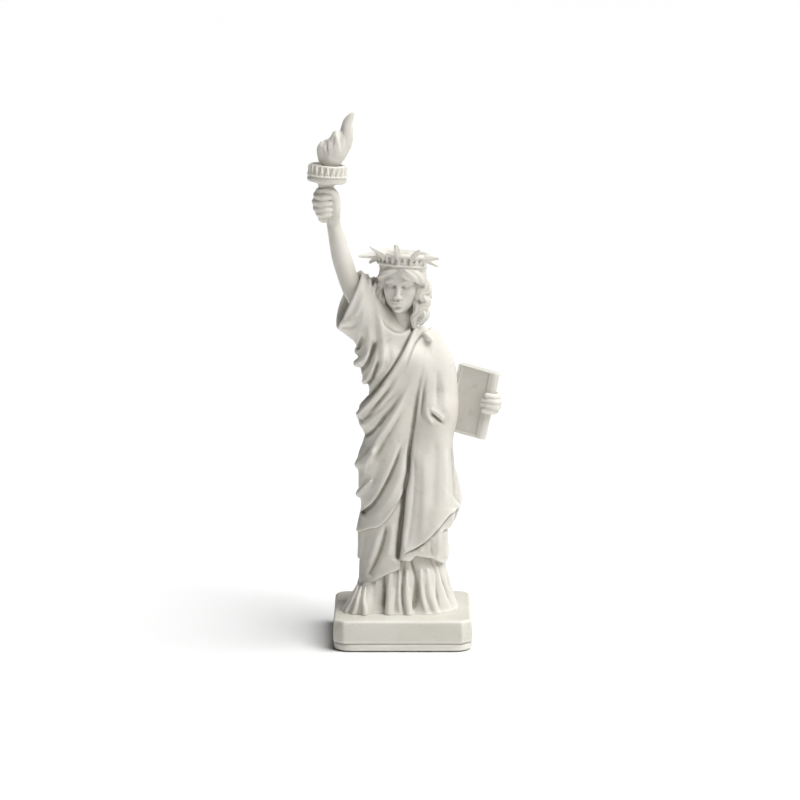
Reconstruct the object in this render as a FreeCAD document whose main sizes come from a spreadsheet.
"""Miniature landmark model: a robed, crowned figure with a raised torch and a tablet, on a square plinth.

A parametric FreeCAD document in millimetres. The figure faces -Y, +Z is up, and the origin is the centre
of the underside. The resin castings are glued at pins and spigots. A bolt from below holds the gown
casting to the hollow plinth, which a screwed plate and a felt pad close.
"""
import FreeCAD, Part
import Sketcher
import math
import os
import re

from FreeCAD import Placement, Rotation, Vector

SHEET = "Size"
X_AXIS = Vector(1, 0, 0)
Y_AXIS = Vector(0, 1, 0)
Z_AXIS = Vector(0, 0, 1)

doc = FreeCAD.newDocument("miniature_landmark")
sheet = doc.addObject("Spreadsheet::Sheet", SHEET)
aliases = {}
nodes = []


# ---------------------------------------------------------------- the sheet and what binds to it


def size(alias, value, note=""):
    """One row of the sheet: the note, the number and its alias. Returns the alias."""
    row = len(aliases) + 1
    sheet.set(f"A{row}", note or alias)
    sheet.set(f"B{row}", repr(float(value)))
    sheet.setAlias(f"B{row}", alias)
    aliases[alias] = float(value)
    return alias


def sizes(rows):
    """Several rows, given as (alias, value, note)."""
    for alias, value, note in rows:
        size(alias, value, note)


def formula(text):
    """The expression with the sheet's name put before each alias."""
    return re.sub(r"[a-z_][a-z0-9_]*", lambda m: f"{SHEET}.{m[0]}" if m[0] in aliases else m[0], str(text))


def bind(thing, x=None, y=None, z=None, turn=None, about=Y_AXIS, **props):
    """Binds the place, one turn in degrees and the named properties of an object to expressions."""
    if turn is not None:
        thing.Placement = Placement(Vector(), Rotation(about, 1))
        thing.setExpression("Placement.Rotation.Angle", formula(turn))
    for axis, text in (("x", x), ("y", y), ("z", z)):
        if text is not None:
            thing.setExpression(f"Placement.Base.{axis}", formula(text))
    for prop, text in props.items():
        thing.setExpression(prop, formula(text))
    return thing


def make(kind, name, **bound):
    """A Part primitive of that kind with its sizes bound."""
    return bind(doc.addObject(f"Part::{kind}", name), **bound)


def fuse(name, *shapes):
    """One solid from several that overlap."""
    fused = doc.addObject("Part::MultiFuse", name)
    fused.Shapes = list(shapes)
    return fused


def cut(name, base, *tools):
    """base less the tools."""
    result = doc.addObject("Part::Cut", name)
    result.Base = base
    result.Tool = tools[0] if len(tools) == 1 else fuse(f"{name}_tools", *tools)
    return result


def node(label, thing):
    """Gives a finished sub-part its label, which names its file."""
    thing.Label = label
    nodes.append(thing)
    return thing


def loft(name, levels, kind="Circle", **common):
    """A smooth solid through round or oval sections. Each level is (word, {cell: value}), and its
    cells are x, y, z and turn, with r for a circle, or rx and ry for an oval."""
    sections = []
    for word, cells in levels:
        given = {**common, **cells}
        named = {key: size(f"{name}_{word}_{key}", value) for key, value in given.items()}
        place = {key: named[key] for key in ("x", "y", "z", "turn") if key in named}
        if kind == "Circle":
            ring = make("Circle", f"{name}_{word}", Radius=named["r"], **place)
        else:
            long_x = kind == "WideOval"
            ring = make("Ellipse", f"{name}_{word}", **place)
            bind(ring, MajorRadius=named["rx" if long_x else "ry"], MinorRadius=named["ry" if long_x else "rx"])
            if not long_x:
                ring.Placement = Placement(ring.Placement.Base, Rotation(Z_AXIS, 90))
        sections.append(ring)
    solid = doc.addObject("Part::Loft", name)
    solid.Sections = sections
    solid.Solid = True
    return solid


# ---------------------------------------------------------------- sketches in PartDesign bodies


def plane(body, role):
    return next(f for f in body.Origin.OriginFeatures if f.Role == role)


def outline(body, name, role, points, lift=None):
    """A closed sketch of straight runs on an origin plane, each corner bound to a pair of expressions.

    The corners are first drawn round a circle, and the bound distances then move them into place."""
    sketch = body.newObject("Sketcher::SketchObject", name)
    sketch.AttachmentSupport = [(plane(body, role), "")]
    sketch.MapMode = "FlatFace"
    if lift is not None:
        sketch.setExpression("AttachmentOffset.Base.z", formula(lift))
    step = 2 * math.pi / len(points)
    round_trip = [Vector(math.cos(step * i), math.sin(step * i), 0) for i in range(len(points))]
    for i, corner in enumerate(round_trip):
        sketch.addGeometry(Part.LineSegment(corner, round_trip[(i + 1) % len(points)]), False)
    for i in range(len(points)):
        sketch.addConstraint(Sketcher.Constraint("Coincident", i, 2, (i + 1) % len(points), 1))
    for i, (across, up) in enumerate(points):
        for key, text, drawn in (("DistanceX", across, round_trip[i].x), ("DistanceY", up, round_trip[i].y)):
            index = sketch.addConstraint(Sketcher.Constraint(key, i, 1, drawn))
            sketch.setExpression(f"Constraints[{index}]", formula(text))
    return sketch


def body_of(name):
    return doc.addObject("PartDesign::Body", name)


def pad(body, name, sketch, length):
    feature = body.newObject("PartDesign::Pad", name)
    feature.Profile = sketch
    feature.setExpression("Length", formula(length))
    return feature


def turned(name, points):
    """A body turned about its own Z axis from a half profile of (radius, height) corners."""
    body = body_of(name)
    profile = outline(body, f"{name}_profile", "XZ_Plane", points)
    feature = body.newObject("PartDesign::Revolution", f"{name}_turning")
    feature.Profile = profile
    feature.ReferenceAxis = (profile, ["V_Axis"])
    feature.Angle = 360
    return body


def upright_edges(shape, wanted):
    """Names of the straight edges along Z whose middle passes the test."""
    found = []
    for i, edge in enumerate(shape.Edges, 1):
        if edge.Curve.TypeId != "Part::GeomLine" or abs(edge.Curve.Direction.z) < 0.99:
            continue
        if wanted(edge.CenterOfMass):
            found.append(f"Edge{i}")
    return found


def soften(body, name, kind, base, edges, **bound):
    """A PartDesign Fillet or Chamfer on the named edges of a feature."""
    feature = body.newObject(f"PartDesign::{kind}", name)
    feature.Base = (base, edges)
    for prop, text in bound.items():
        feature.setExpression(prop, formula(text))
    return feature


# ---------------------------------------------------------------- driving dimensions

sizes([
    ("plinth_width", 39.2, "plinth, side to side and front to back"),
    ("plinth_top", 8.9, "height of the plinth's deck above the ground"),
    ("plinth_wall", 2.6, "side wall"),
    ("deck_thick", 2.6, "deck under the figure"),
    ("front_chamfer", 2.3, "flat on the two front corners"),
    ("rear_round", 4.0, "radius of the two rear corners"),
    ("deck_edge", 0.45, "softened edge of the deck"),
    ("plate_low", 0.3, "height of the plate's underside above the ground"),
    ("plate_top", 2.4, "height of the seam between plate and plinth"),
    ("plate_lip", 1.1, "upstand that centres the plate in the plinth"),
    ("lip_gap", 0.1, "clearance round the upstand"),
    ("felt_thick", 0.8, "felt pad"),
    ("felt_width", 32.4, "felt pad, square"),
    ("pleat_ring_x", 14.0, "half width of the ring of pleats at the gown's foot"),
    ("pleat_ring_y", 10.6, "half depth of that ring"),
    ("pleat_low_r", 1.5, "pleat, radius at the deck"),
    ("pleat_top_r", 1.1, "pleat, radius at its top"),
    ("pleat_high", 3.0, "pleat, height"),
    ("wire_bend", 3.0, "arm wire, radius of its bends"),
    ("fist_x", -24.6, "fist, left side"),
    ("fist_low", 120.9, "fist, underside"),
    ("fist_size", 6.6, "fist, side to side and front to back"),
    ("fist_high", 7.4, "fist, height"),
    ("fist_round", 2.2, "fist, rounding of its edges"),
    ("knuckle_r", 0.95, "fingers round the torch, radius"),
    ("knuckle_step", 1.75, "fingers round the torch, one above the next"),
    ("knuckle_long", 4.6, "fingers round the torch, length"),
    ("palm_wide", 3.6, "left palm, across the tablet's edge"),
    ("palm_deep", 6.6, "left palm, front to back"),
    ("palm_high", 6.4, "left palm, height"),
    ("palm_round", 1.5, "left palm, rounding of its edges"),
    ("finger_long", 5.6, "fingers on the tablet, length"),
    ("finger_step", 1.65, "fingers on the tablet, one above the next"),
    ("pin_x", 10.4, "tablet pin, end in the torso"),
    ("pin_z", 69.6, "tablet pin, height"),
    ("pin_long", 6.0, "tablet pin, length"),
    ("screw_grid", 13.4, "corner screws, from the middle line"),
    ("screw_r", 0.7, "corner screw shank"),
    ("screw_head_r", 1.5, "corner screw head"),
    ("screw_length", 4.2, "corner screw under the head"),
    ("boss_r", 2.1, "corner boss in the plinth"),
    ("bolt_r", 1.5, "figure bolt shank"),
    ("bolt_head_r", 2.75, "figure bolt head"),
    ("bolt_head_high", 1.6, "figure bolt head height"),
    ("bolt_clear_r", 1.7, "hole in the deck"),
    ("washer_r", 3.5, "washer outside"),
    ("washer_thick", 0.5, "washer"),
    ("insert_r", 2.2, "threaded insert outside"),
    ("insert_long", 5.5, "threaded insert"),
    ("ballast_width", 21.0, "ballast block, square"),
    ("ballast_thick", 2.2, "ballast block"),
    ("cloak_seam", 18.0, "height of the joint between gown and cloak castings"),
    ("spigot_r", 5.0, "spigot of the gown inside the cloak"),
    ("spigot_long", 12.0, "spigot height above the joint"),
    ("wire_r", 0.8, "steel wire in the raised arm"),
    ("dowel_r", 1.2, "neck dowel"),
    ("pin_r", 0.7, "tablet pin"),
    ("torch_x", -22.3, "lower tip of the torch handle"),
    ("torch_z", 118.9, "lower tip of the torch handle"),
    ("torch_lean", 5.0, "lean of the torch towards the figure, in degrees"),
    ("grip_r", 1.35, "torch handle inside the fist"),
    ("spike_r", 0.8, "spike of the handle inside the flame"),
    ("gallery_low", 12.2, "underside of the gallery's rim, along the torch"),
    ("gallery_high", 4.0, "height of the rim"),
    ("gallery_r", 5.35, "rim radius"),
    ("crown_x", -0.3, "centre of the diadem"),
    ("crown_y", -0.6, "centre of the diadem"),
    ("crown_z", 106.8, "foot of the diadem"),
    ("crown_roll", 5.0, "the head's tilt to one side, in degrees"),
    ("crown_low_r", 6.4, "diadem outside, at its foot"),
    ("crown_top_r", 6.8, "diadem outside, at its top"),
    ("crown_high", 3.3, "diadem height"),
    ("crown_wall", 1.0, "diadem wall"),
    ("window_wide", 0.7, "diadem window"),
    ("window_high", 1.9, "diadem window"),
    ("ray_root_r", 0.95, "ray at its root"),
    ("ray_tip_r", 0.3, "ray at its tip"),
    ("tablet_wide", 11.2, "tablet"),
    ("tablet_long", 19.2, "tablet"),
    ("tablet_thick", 3.4, "tablet"),
    ("tablet_x", 19.5, "tablet centre"),
    ("tablet_y", -1.6, "tablet centre"),
    ("tablet_z", 68.4, "tablet centre"),
    ("tablet_lean", 12.0, "tablet's lean, its outer side lower, in degrees"),
    ("tablet_swing", 22.0, "tablet's turn, its outer side forward, in degrees"),
    ("finger_r", 0.95, "fingers on the tablet"),
])
# each ray: its swing from the front towards +X, its rise, both in degrees, and its length
RAY_FAN = (
    (-110, -36, 4.6),
    (-75, -4, 5.8),
    (-42, 22, 6.4),
    (-9, 36, 7.3),
    (24, 30, 6.8),
    (57, 11, 5.6),
    (98, -26, 3.8),
)
PLEAT_COUNT = 18
FINGER_COUNT = 4
WINDOW_COUNT = 25
TOOTH_COUNT = 24


# ---------------------------------------------------------------- base


def plinth():
    """Hollow square plinth: flat front corners, round rear corners, four screw bosses, one bolt hole."""
    body = body_of("plinth_body")
    half = "plinth_width / 2"
    flat = "(plinth_width / 2 - front_chamfer)"
    corners = [(f"-{flat}", f"-{half}"), (flat, f"-{half}"), (half, f"-{flat}"), (half, half), (f"-{half}", half),
               (f"-{half}", f"-{flat}")]
    block = pad(body, "plinth_block", outline(body, "plinth_plan", "XY_Plane", corners, "plate_top"),
                "plinth_top - plate_top")
    doc.recompute()
    rear = upright_edges(block.Shape, lambda p: p.y > aliases["plinth_width"] / 2 - 0.1)
    rounded = soften(body, "plinth_rear_rounds", "Fillet", block, rear, Radius="rear_round")
    doc.recompute()
    top = [f"Edge{i}" for i, e in enumerate(rounded.Shape.Edges, 1) if e.BoundBox.ZMin > aliases["plinth_top"] - 0.01]
    soften(body, "plinth_deck_edge", "Fillet", rounded, top, Radius="deck_edge")
    doc.recompute()
    inner = "(plinth_width / 2 - plinth_wall)"
    hollow = body.newObject("PartDesign::Pocket", "plinth_hollow")
    square = [(f"-{inner}", f"-{inner}"), (inner, f"-{inner}"), (inner, inner), (f"-{inner}", inner)]
    hollow.Profile = outline(body, "plinth_inside", "XY_Plane", square, "plate_top")
    hollow.Reversed = True
    hollow.setExpression("Length", formula("plinth_top - deck_thick - plate_top"))
    boss_high = "plinth_top - deck_thick - plate_top - plate_lip"
    bosses = []
    for i, (sx, sy) in enumerate(((-1, -1), (1, -1), (1, 1), (-1, 1)), 1):
        at = dict(x=f"{sx} * screw_grid", y=f"{sy} * screw_grid")
        column = make("Cylinder", f"boss_{i}", z="plate_top + plate_lip", Radius="boss_r", Height=boss_high, **at)
        bosses.append(column)
    holes = [make("Cylinder", f"boss_hole_{i}", x=f"{sx} * screw_grid", y=f"{sy} * screw_grid", z="plate_top",
                  Radius="screw_r", Height="screw_length - plate_top + felt_thick + 0.1")
             for i, (sx, sy) in enumerate(((-1, -1), (1, -1), (1, 1), (-1, 1)), 1)]
    bolt_hole = make("Cylinder", "deck_hole", z="plate_top", Radius="bolt_clear_r", Height="plinth_top")
    return node("plinth", cut("plinth_part", fuse("plinth_with_bosses", body, *bosses), bolt_hole, *holes))


def corner_screw_profile():
    """Half profile of a countersunk screw, its head's face at zero."""
    return [("0", "0"), ("screw_head_r", "0"), ("screw_r", "screw_head_r - screw_r"),
            ("screw_r", "screw_length"), ("0", "screw_length")]


def bottom_plate():
    """Plate that closes the plinth, with an upstand, a recess for the felt and four countersunk holes."""
    body = body_of("plate_body")
    half = "plinth_width / 2"
    flat = "(plinth_width / 2 - front_chamfer)"
    corners = [(f"-{flat}", f"-{half}"), (flat, f"-{half}"), (half, f"-{flat}"), (half, half), (f"-{half}", half),
               (f"-{half}", f"-{flat}")]
    block = pad(body, "plate_block", outline(body, "plate_plan", "XY_Plane", corners, "plate_low"),
                "plate_top - plate_low")
    doc.recompute()
    rear = upright_edges(block.Shape, lambda p: p.y > aliases["plinth_width"] / 2 - 0.1)
    rounded = soften(body, "plate_rear_rounds", "Fillet", block, rear, Radius="rear_round")
    doc.recompute()
    low = [f"Edge{i}" for i, e in enumerate(rounded.Shape.Edges, 1) if e.BoundBox.ZMax < aliases["plate_low"] + 0.01]
    soften(body, "plate_foot_edge", "Fillet", rounded, low, Radius="1.2 * deck_edge")
    lip = "(plinth_width - 2 * plinth_wall - 2 * lip_gap)"
    upstand = make("Box", "plate_upstand", x=f"-{lip} / 2", y=f"-{lip} / 2", z="plate_top - 0.5",
                   Length=lip, Width=lip, Height="plate_lip + 0.5")
    recess = make("Box", "felt_recess", x="-felt_width / 2", y="-felt_width / 2", z="0",
                  Length="felt_width", Width="felt_width", Height="felt_thick")
    tools = [recess]
    for i, (sx, sy) in enumerate(((-1, -1), (1, -1), (1, 1), (-1, 1)), 1):
        at = dict(x=f"{sx} * screw_grid", y=f"{sy} * screw_grid")
        tools.append(make("Cylinder", f"plate_hole_{i}", z="0", Radius="screw_r", Height="screw_length + 1", **at))
        tools.append(make("Cone", f"plate_sink_{i}", z="felt_thick", Radius1="screw_head_r", Radius2="screw_r",
                          Height="screw_head_r - screw_r", **at))
    return node("bottom_plate", cut("plate_part", fuse("plate_with_lip", body, upstand), *tools))


def plate_screws():
    """Four identical countersunk screws, one node."""
    screws = []
    for i, (sx, sy) in enumerate(((-1, -1), (1, -1), (1, 1), (-1, 1)), 1):
        screw = turned(f"screw_{i}", corner_screw_profile())
        screws.append(bind(screw, x=f"{sx} * screw_grid", y=f"{sy} * screw_grid", z="felt_thick"))
    group = doc.addObject("Part::Compound", "screws")
    group.Links = screws
    return node("plate_screws", group)


def felt_pad():
    pad_box = make("Box", "felt", x="-felt_width / 2", y="-felt_width / 2", Length="felt_width",
                   Width="felt_width", Height="felt_thick")
    return node("felt_pad", pad_box)


def figure_bolt():
    """Pan-head bolt from under the deck into the gown, with a washer, and the insert that it screws into."""
    head_low = "plinth_top - deck_thick - washer_thick - bolt_head_high"
    bolt = turned("bolt_body", [("0", "0"), ("bolt_head_r", "0"), ("bolt_head_r", "bolt_head_high"),
                                ("bolt_r", "bolt_head_high"), ("bolt_r", "13.0"), ("0", "13.0")])
    bind(bolt, z=head_low)
    socket = make("Prism", "bolt_socket", z=head_low, Circumradius="0.55 * bolt_head_r",
                  Height="0.6 * bolt_head_high")
    socket.Polygon = 6
    bolt_node = node("figure_bolt", cut("bolt", bolt, socket))
    washer = turned("washer_body", [("bolt_clear_r", "0"), ("washer_r", "0"), ("washer_r", "washer_thick"),
                                    ("bolt_clear_r", "washer_thick")])
    node("bolt_washer", bind(washer, z="plinth_top - deck_thick - washer_thick"))
    insert = turned("insert_body", [("bolt_r", "0"), ("insert_r", "0"), ("insert_r", "insert_long"),
                                    ("bolt_r", "insert_long")])
    node("threaded_insert", bind(insert, z="plinth_top + 0.4"))
    return bolt_node


def ballast_block():
    """Weight glued to the plate's upstand, with a hole that clears the bolt's head."""
    low = "plate_top + plate_lip"
    block = make("Box", "ballast_raw", x="-ballast_width / 2", y="-ballast_width / 2", z=low,
                 Length="ballast_width", Width="ballast_width", Height="ballast_thick")
    hole = make("Cylinder", "ballast_hole", z=low, Radius="washer_r + 0.6", Height="ballast_thick")
    return node("ballast_block", cut("ballast", block, hole))


# ---------------------------------------------------------------- robed figure

GOWN_LEVELS = [
    ("hem", dict(x=-0.1, y=0.2, z=8.9, rx=15.2, ry=11.4)),
    ("ankle", dict(x=0.0, y=0.2, z=12.5, rx=13.4, ry=10.6)),
    ("seam", dict(x=0.1, y=0.1, z=18.0, rx=12.4, ry=9.9)),
]
CLOAK_LEVELS = [
    ("seam", dict(x=0.1, y=0.1, z=18.0, rx=12.4, ry=9.9)),
    ("shin", dict(x=0.3, y=0.0, z=28.0, rx=12.9, ry=9.9)),
    ("knee", dict(x=1.2, y=-0.1, z=38.0, rx=13.6, ry=9.9)),
    ("thigh", dict(x=0.6, y=-0.2, z=50.0, rx=13.9, ry=9.5)),
    ("hip", dict(x=0.6, y=-0.3, z=60.0, rx=12.4, ry=8.8)),
    ("waist", dict(x=1.3, y=-0.4, z=70.0, rx=11.4, ry=8.2)),
    ("chest", dict(x=-0.6, y=-0.3, z=79.0, rx=12.0, ry=8.2)),
    ("bust", dict(x=-0.8, y=0.0, z=84.0, rx=10.2, ry=7.0)),
    ("collar", dict(x=-0.4, y=0.3, z=88.4, rx=5.0, ry=4.4)),
]
SLEEVE_LEVELS = [
    ("root", dict(x=-2.0, y=0.3, z=81.5, rx=7.2, ry=5.8, turn=-42)),
    ("armpit", dict(x=-8.6, y=0.2, z=88.6, rx=8.4, ry=5.9, turn=-52)),
    ("rim", dict(x=-14.9, y=0.0, z=96.0, rx=8.9, ry=5.7, turn=-62)),
]
SLEEVE_HOLLOW = [
    ("deep", dict(x=-10.8, y=0.1, z=91.4, rx=4.2, ry=4.0, turn=-55)),
    ("mouth", dict(x=-15.4, y=0.0, z=96.4, rx=7.9, ry=4.8, turn=-62)),
]
LEFT_SLEEVE_LEVELS = [
    ("shoulder", dict(x=7.0, y=0.6, z=84.0, r=4.2, turn=150)),
    ("upper", dict(x=10.4, y=0.4, z=78.0, r=5.0, turn=162)),
    ("elbow", dict(x=12.0, y=0.2, z=69.0, r=5.2, turn=176)),
    ("cuff", dict(x=12.4, y=0.0, z=60.0, r=4.6, turn=180)),
]
PANEL_LEVELS = [
    ("foot", dict(x=6.6, y=-8.0, z=23.5, rx=6.4, ry=2.6)),
    ("knee", dict(x=7.6, y=-8.6, z=38.0, rx=7.6, ry=3.0)),
    ("hip", dict(x=8.6, y=-6.6, z=56.0, rx=5.6, ry=3.4)),
    ("elbow", dict(x=9.4, y=-4.4, z=68.0, rx=4.4, ry=3.4)),
]


def gown():
    """Pleated lower casting: it stands on the deck, and its spigot goes up into the cloak."""
    skirt = loft("gown_skirt", GOWN_LEVELS, "WideOval")
    pleats = []
    for i in range(PLEAT_COUNT):
        angle = 2 * math.pi * i / PLEAT_COUNT
        pleat = make("Cone", f"pleat_{i + 1}", x=f"pleat_ring_x * {math.cos(angle):.5f}",
                     y=f"pleat_ring_y * {math.sin(angle):.5f} + 0.2", z="plinth_top",
                     Radius1="pleat_low_r", Radius2="pleat_top_r", Height="pleat_high")
        pleats.append(pleat)
    spigot = make("Cylinder", "gown_spigot", z="cloak_seam - 1", Radius="spigot_r", Height="spigot_long + 1")
    bore = make("Cylinder", "gown_insert_bore", z="plinth_top - 1", Radius="insert_r", Height="insert_long + 1.4")
    tip = make("Cylinder", "gown_tip_bore", z="plinth_top - 1", Radius="bolt_r + 0.1", Height="insert_long + 5")
    return node("gown", cut("gown_casting", fuse("gown_solid", skirt, spigot, *pleats), bore, tip))


# chest, armpit, elbow and fist
WIRE_PATH = [Vector(-1.5, 0.6, 76.0), Vector(-8.6, 0.5, 91.6), Vector(-16.0, 0.1, 105.0), Vector(-19.2, 0, 117.0)]


def arm_wire():
    """Bent steel wire from the chest to the fist."""
    wire = doc.addObject("Part::Feature", "wire")
    bend = sheet.wire_bend
    path = WIRE_PATH
    edges = []
    start = path[0]
    for before, corner, after in zip(path, path[1:], path[2:]):
        back = (before - corner).normalize()
        on = (after - corner).normalize()
        half = math.acos(max(-1.0, min(1.0, back.dot(on)))) / 2
        reach = bend / math.tan(half)
        first, last = corner + back * reach, corner + on * reach
        middle = corner + (back + on).normalize() * (bend / math.sin(half) - bend)
        edges += [Part.LineSegment(start, first).toShape(), Part.Arc(first, middle, last).toShape()]
        start = last
    edges.append(Part.LineSegment(start, path[-1]).toShape())
    ring = Part.Wire([Part.Circle(path[0], path[1] - path[0], sheet.wire_r).toShape()])
    wire.Shape = Part.Wire(edges).makePipeShell([ring], True, False)
    return node("arm_wire", wire)


def neck_dowel():
    dowel = make("Cylinder", "dowel", x="crown_x + 0.2", y="0.2", z="82.0", Radius="dowel_r", Height="13.0")
    return node("neck_dowel", dowel)


ARM_LEVELS = [
    ("root", dict(x=-8.0, y=0.5, z=88.6, r=3.3, turn=-38)),
    ("elbow", dict(x=-13.1, y=0.3, z=98.4, r=3.3, turn=-26)),
    ("fore", dict(x=-16.2, y=0.1, z=105.3, r=3.1, turn=-20)),
    ("mid", dict(x=-18.0, y=0.0, z=111.0, r=2.8, turn=-13)),
    ("wrist", dict(x=-19.3, y=0.0, z=117.6, r=2.1, turn=-6)),
    ("palm", dict(x=-19.8, y=0.2, z=121.6, r=2.2, turn=-4)),
]


def right_arm(wire, handle):
    """Raised arm and fist in one casting, bored for the torch handle and the wire."""
    arm = loft("arm", ARM_LEVELS)
    block = make("Box", "fist_block", x="fist_x", y="-fist_size / 2", z="fist_low",
                 Length="fist_size", Width="fist_size", Height="fist_high")
    doc.recompute()
    fist = doc.addObject("Part::Fillet", "fist")
    fist.Base = block
    fist.Edges = [(i, aliases["fist_round"], aliases["fist_round"]) for i in range(1, len(block.Shape.Edges) + 1)]
    fingers = []
    for i in range(FINGER_COUNT):
        barrel = make("Cylinder", f"torch_finger_{i + 1}", x="fist_x + 0.4", y="0.7 - fist_size / 2",
                      z=f"fist_low + 1 + {i} * knuckle_step", turn="90", about=Y_AXIS,
                      Radius="knuckle_r", Height="knuckle_long")
        fingers.append(barrel)
    whole = fuse("arm_solid", arm, fist, *fingers)
    return node("right_arm", cut("arm_casting", whole, wire, handle))


def cloak(*plugs):
    """Torso, wrap and both sleeves in one casting, with a socket for each piece that plugs into it."""
    trunk = loft("cloak_trunk", CLOAK_LEVELS, "WideOval")
    sleeve = loft("cloak_sleeve", SLEEVE_LEVELS, "WideOval")
    left_sleeve = loft("cloak_left_sleeve", LEFT_SLEEVE_LEVELS)
    panel = loft("cloak_panel", PANEL_LEVELS, "WideOval")
    hollow = loft("sleeve_hollow", SLEEVE_HOLLOW, "WideOval")
    solid = cut("cloak_sleeved", fuse("cloak_solid", trunk, sleeve, left_sleeve, panel), hollow)
    socket = make("Cylinder", "spigot_socket", z="cloak_seam - 1", Radius="spigot_r", Height="spigot_long + 1.5")
    return node("cloak", cut("cloak_casting", solid, socket, *plugs))


# ---------------------------------------------------------------- torch


def on_torch(thing):
    """Puts a piece made upright at the origin on the leaning torch."""
    return bind(thing, x="torch_x", z="torch_z", turn="torch_lean")


def torch_handle():
    """Turned handle: finial, grip, a cup that carries the gallery, and a spike for the flame."""
    profile = [("0", "0"), ("1.0", "0.2"), ("1.6", "1.2"), ("1.5", "2.0"), ("grip_r", "2.6"), ("grip_r", "9.0"),
               ("2.1", "9.8"), ("2.3", "gallery_low - 1.8"), ("spike_r + 0.5", "gallery_low - 1.8"),
               ("spike_r + 0.5", "gallery_low + gallery_high - 0.6"), ("spike_r", "gallery_low + gallery_high - 0.6"),
               ("spike_r", "gallery_low + gallery_high + 5"), ("0", "gallery_low + gallery_high + 5")]
    return node("torch_handle", on_torch(turned("handle_body", profile)))


def torch_gallery():
    """Round balcony with a coned underside, a parapet and a row of pointed teeth round its rim."""
    profile = [("spike_r + 0.5", "gallery_low - 1.8"), ("2.3", "gallery_low - 1.8"), ("gallery_r - 0.3", "gallery_low"),
               ("gallery_r", "gallery_low + 0.3"), ("gallery_r", "gallery_low + 1.1"),
               ("gallery_r - 0.35", "gallery_low + 1.3"), ("gallery_r - 0.35", "gallery_low + gallery_high - 0.2"),
               ("gallery_r - 0.7", "gallery_low + gallery_high"), ("gallery_r - 1.3", "gallery_low + gallery_high"),
               ("gallery_r - 1.4", "gallery_low + gallery_high - 0.6"),
               ("spike_r + 0.5", "gallery_low + gallery_high - 0.6")]
    disc = turned("gallery_disc", profile)
    teeth = []
    for i in range(TOOTH_COUNT):
        angle = 2 * math.pi * i / TOOTH_COUNT
        tooth = make("Cone", f"tooth_{i + 1}", x=f"(gallery_r - 0.55) * {math.cos(angle):.5f}",
                     y=f"(gallery_r - 0.55) * {math.sin(angle):.5f}", z="gallery_low + 1.2",
                     Radius1="0.62", Radius2="0.15", Height="gallery_high - 1.5")
        teeth.append(tooth)
    return node("torch_gallery", on_torch(fuse("gallery", disc, *teeth)))


FLAME_LEVELS = [
    ("foot", dict(x=-20.25, z=135.05, r=2.9, turn=6)),
    ("low", dict(x=-20.0, z=138.2, r=4.0, turn=4)),
    ("belly", dict(x=-19.1, z=141.0, r=4.2, turn=10)),
    ("waist", dict(x=-17.2, z=144.0, r=2.8, turn=20)),
    ("neck", dict(x=-15.6, z=146.6, r=1.6, turn=24)),
    ("tip", dict(x=-14.3, z=149.2, r=0.5, turn=10)),
]


def torch_flame(handle, gallery):
    flame = loft("flame", FLAME_LEVELS, y=0.0)
    return node("torch_flame", cut("flame_casting", flame, handle, gallery))


# ---------------------------------------------------------------- head and crown

HEAD_LEVELS = [
    ("jaw", dict(x=-0.3, y=-1.6, z=92.6, rx=3.4, ry=4.6)),
    ("mouth", dict(x=-0.3, y=-1.2, z=95.6, rx=5.6, ry=6.8)),
    ("cheek", dict(x=-0.4, y=-0.8, z=99.2, rx=6.6, ry=7.4)),
    ("brow", dict(x=-0.4, y=-0.6, z=103.4, rx=6.6, ry=7.3)),
    ("crown", dict(x=-0.5, y=-0.4, z=107.4, rx=5.4, ry=5.9)),
    ("top", dict(x=-0.5, y=-0.3, z=110.2, rx=2.4, ry=2.6)),
]


# each curl's X, Z and radius
CURLS = ((5.6, 99.4, 2.0), (6.0, 96.2, 1.8), (5.4, 93.4, 1.6))


def diadem_ring(name, inner):
    """Flaring ring of the diadem, as wide inside as asked, on the tilted head."""
    ring = turned(name, [(inner, "0"), ("crown_low_r", "0"), ("crown_top_r", "crown_high"),
                         (inner, "crown_high")])
    return bind(ring, x="crown_x", y="crown_y", z="crown_z", turn="crown_roll")


def crown_place():
    """The diadem's own frame: its foot's centre, on the tilted head."""
    spot = Vector(aliases["crown_x"], aliases["crown_y"], aliases["crown_z"])
    return Placement(spot, Rotation(Y_AXIS, aliases["crown_roll"]))


def rays():
    """Seven tapered rays, fanned round the front and sides of the diadem's top edge."""
    made = []
    root_out = aliases["crown_top_r"] - 0.5
    root_up = aliases["crown_high"] - 0.8
    for i, (swing, rise, length) in enumerate(RAY_FAN, 1):
        size(f"ray_{i}_long", length, f"ray {i}, from root to tip")
        ray = make("Cone", f"ray_cone_{i}", Radius1="ray_root_r", Radius2="ray_tip_r", Height=f"ray_{i}_long")
        outward = Vector(math.sin(math.radians(swing)), -math.cos(math.radians(swing)), 0)
        aim = outward * math.cos(math.radians(rise)) + Z_AXIS * math.sin(math.radians(rise))
        on_ring = Placement(outward * root_out + Z_AXIS * root_up, Rotation(Z_AXIS, aim))
        ray.Placement = crown_place().multiply(on_ring)
        made.append(node(f"ray_{i}", ray))
    return made


def diadem(ray_parts):
    """Ring with a row of upright windows, notched for the rays' roots."""
    ring = diadem_ring("diadem_body", "crown_low_r - crown_wall")
    windows = []
    for i in range(WINDOW_COUNT):
        window = make("Box", f"window_{i + 1}", Length="window_wide", Width="2 * crown_wall",
                      Height="window_high")
        swing = Rotation(Z_AXIS, 360.0 / WINDOW_COUNT * i)
        foot = Vector(-aliases["window_wide"] / 2, -aliases["crown_top_r"] - 0.4, 0.6)
        window.Placement = crown_place().multiply(Placement(swing.multVec(foot), swing))
        windows.append(window)
    return node("diadem", cut("diadem_part", ring, *ray_parts, *windows))


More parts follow.
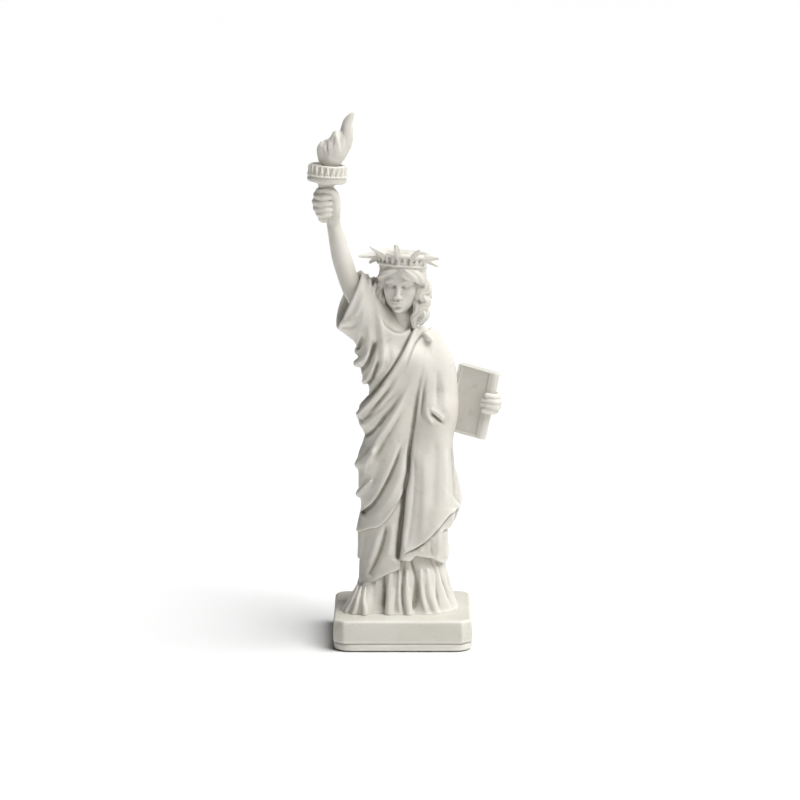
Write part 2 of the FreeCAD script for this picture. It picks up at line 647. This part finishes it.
def head(dowel, ray_parts):
    """Head, hair and neck in one casting that goes over the dowel. The diadem sits round it."""
    skull = loft("skull", HEAD_LEVELS, "DeepOval")
    neck = make("Cone", "neck", x="crown_x + 0.2", y="0.2", z="87.6", Radius1="3.7", Radius2="3.1", Height="9.0")
    curls = []
    for i, (x, z, r) in enumerate(CURLS, 1):
        curls.append(make("Sphere", f"curl_{i}", x=f"{x}", y="-1.4", z=f"{z}", Radius=f"{r}"))
    around = diadem_ring("diadem_seat", "crown_low_r - crown_wall")
    return node("head", cut("head_casting", fuse("head_solid", skull, neck, *curls), dowel, around, *ray_parts))


# ---------------------------------------------------------------- tablet and the hand that holds it


def tablet_place():
    """Where the tablet's own frame lies: X across it, Y through it, Z along it."""
    lean = Rotation(Y_AXIS, aliases["tablet_lean"])
    swing = Rotation(Z_AXIS, -aliases["tablet_swing"])
    spot = Vector(aliases["tablet_x"], aliases["tablet_y"], aliases["tablet_z"])
    return Placement(spot, lean.multiply(swing))


def on_tablet(thing, x, y, z, turn=None):
    """Places a piece at a point of the tablet's frame."""
    thing.Placement = tablet_place().multiply(Placement(Vector(x, y, z), turn or Rotation()))
    return thing


def tablet(pin):
    """Plain slab like a closed book, with a round spine on its outer edge, drilled for its pin."""
    body = body_of("tablet_body")
    half_w, half_t = "tablet_wide / 2", "tablet_thick / 2"
    corners = [(f"-{half_w}", f"-{half_t}"), (half_w, f"-{half_t}"), (half_w, half_t), (f"-{half_w}", half_t)]
    block = pad(body, "tablet_block", outline(body, "tablet_plan", "XY_Plane", corners, "-tablet_long / 2"),
                "tablet_long")
    doc.recompute()
    spine = upright_edges(block.Shape, lambda p: p.x > 0)
    rounded = soften(body, "tablet_spine", "Fillet", block, spine, Radius="tablet_thick / 2 - 0.05")
    doc.recompute()
    ends = [f"Edge{i}" for i, e in enumerate(rounded.Shape.Edges, 1) if e.BoundBox.ZLength < 0.01]
    soften(body, "tablet_ends", "Fillet", rounded, ends, Radius="0.4")
    body.Placement = tablet_place()
    return node("tablet", cut("tablet_slab", body, pin))


# in the tablet's frame: the palm's near corner, the lowest finger's height and where the fingers end
PALM_CORNER = (3.2, -1.9, -3.6)
LOWEST_FINGER_Z = -2.9
FINGERTIP_X = 0.6

FOREARM_LEVELS = [
    ("elbow", dict(x=9.0, y=3.6, z=66.4, r=2.9, turn=88)),
    ("middle", dict(x=16.0, y=3.0, z=66.6, r=2.7, turn=88)),
    ("wrist", dict(x=23.6, y=0.4, z=66.6, r=2.1, turn=88)),
]


def left_hand(slab):
    """Forearm, palm and four fingers in one casting, closed round the tablet's outer edge."""
    palm = on_tablet(make("Box", "palm_block", Length="palm_wide", Width="palm_deep", Height="palm_high"),
                     *PALM_CORNER)
    doc.recompute()
    hand = doc.addObject("Part::Fillet", "palm")
    hand.Base = palm
    hand.Edges = [(i, aliases["palm_round"], aliases["palm_round"]) for i in range(1, len(palm.Shape.Edges) + 1)]
    fingers = []
    for i in range(FINGER_COUNT):
        barrel = make("Cylinder", f"tablet_finger_{i + 1}", Radius="finger_r", Height="finger_long")
        tip = make("Sphere", f"fingertip_{i + 1}", Radius="finger_r")
        up = LOWEST_FINGER_Z + aliases["finger_step"] * i
        front = -aliases["tablet_thick"] / 2 - 0.5
        fingers.append(on_tablet(barrel, FINGERTIP_X, front, up, Rotation(Y_AXIS, 90)))
        fingers.append(on_tablet(tip, FINGERTIP_X, front, up))
    forearm = loft("forearm", FOREARM_LEVELS)
    return node("left_hand", cut("hand_casting", fuse("hand_solid", hand, forearm, *fingers), slab))


def tablet_pin():
    """Pin from the torso into the tablet's inner edge."""
    pin = make("Cylinder", "pin", x="pin_x", y="0.2", z="pin_z", turn="90", Radius="pin_r", Height="pin_long")
    return node("tablet_pin", pin)


# ---------------------------------------------------------------- the assembly


def build():
    plinth()
    bottom_plate()
    plate_screws()
    felt_pad()
    figure_bolt()
    ballast_block()
    gown()
    wire = arm_wire()
    dowel = neck_dowel()
    pin = tablet_pin()
    handle = torch_handle()
    torch_flame(handle, torch_gallery())
    arm = right_arm(wire, handle)
    slab = tablet(pin)
    hand = left_hand(slab)
    ray_parts = rays()
    diadem(ray_parts)
    face = head(dowel, ray_parts)
    cloak(wire, dowel, pin, arm, hand, slab, face)


def write_parts():
    """Stops at a failed object or a bad solid, then writes one STEP file for each node."""
    doc.recompute()
    failed = [o.Label for o in doc.Objects if {"Invalid", "Error"} & set(o.State)]
    if failed:
        raise SystemExit(f"these objects failed: {failed}")
    os.makedirs("parts", exist_ok=True)
    for thing in nodes:
        shape = thing.Shape
        if shape.isNull() or not shape.isValid() or not shape.Solids:
            raise SystemExit(f"{thing.Label} is not a valid solid")
        shape.exportStep(f"parts/{thing.Label}.step")
        print(f"{thing.Label}: {len(shape.Solids)} solid(s), {shape.Volume:.2f} mm3")


build()
write_parts()
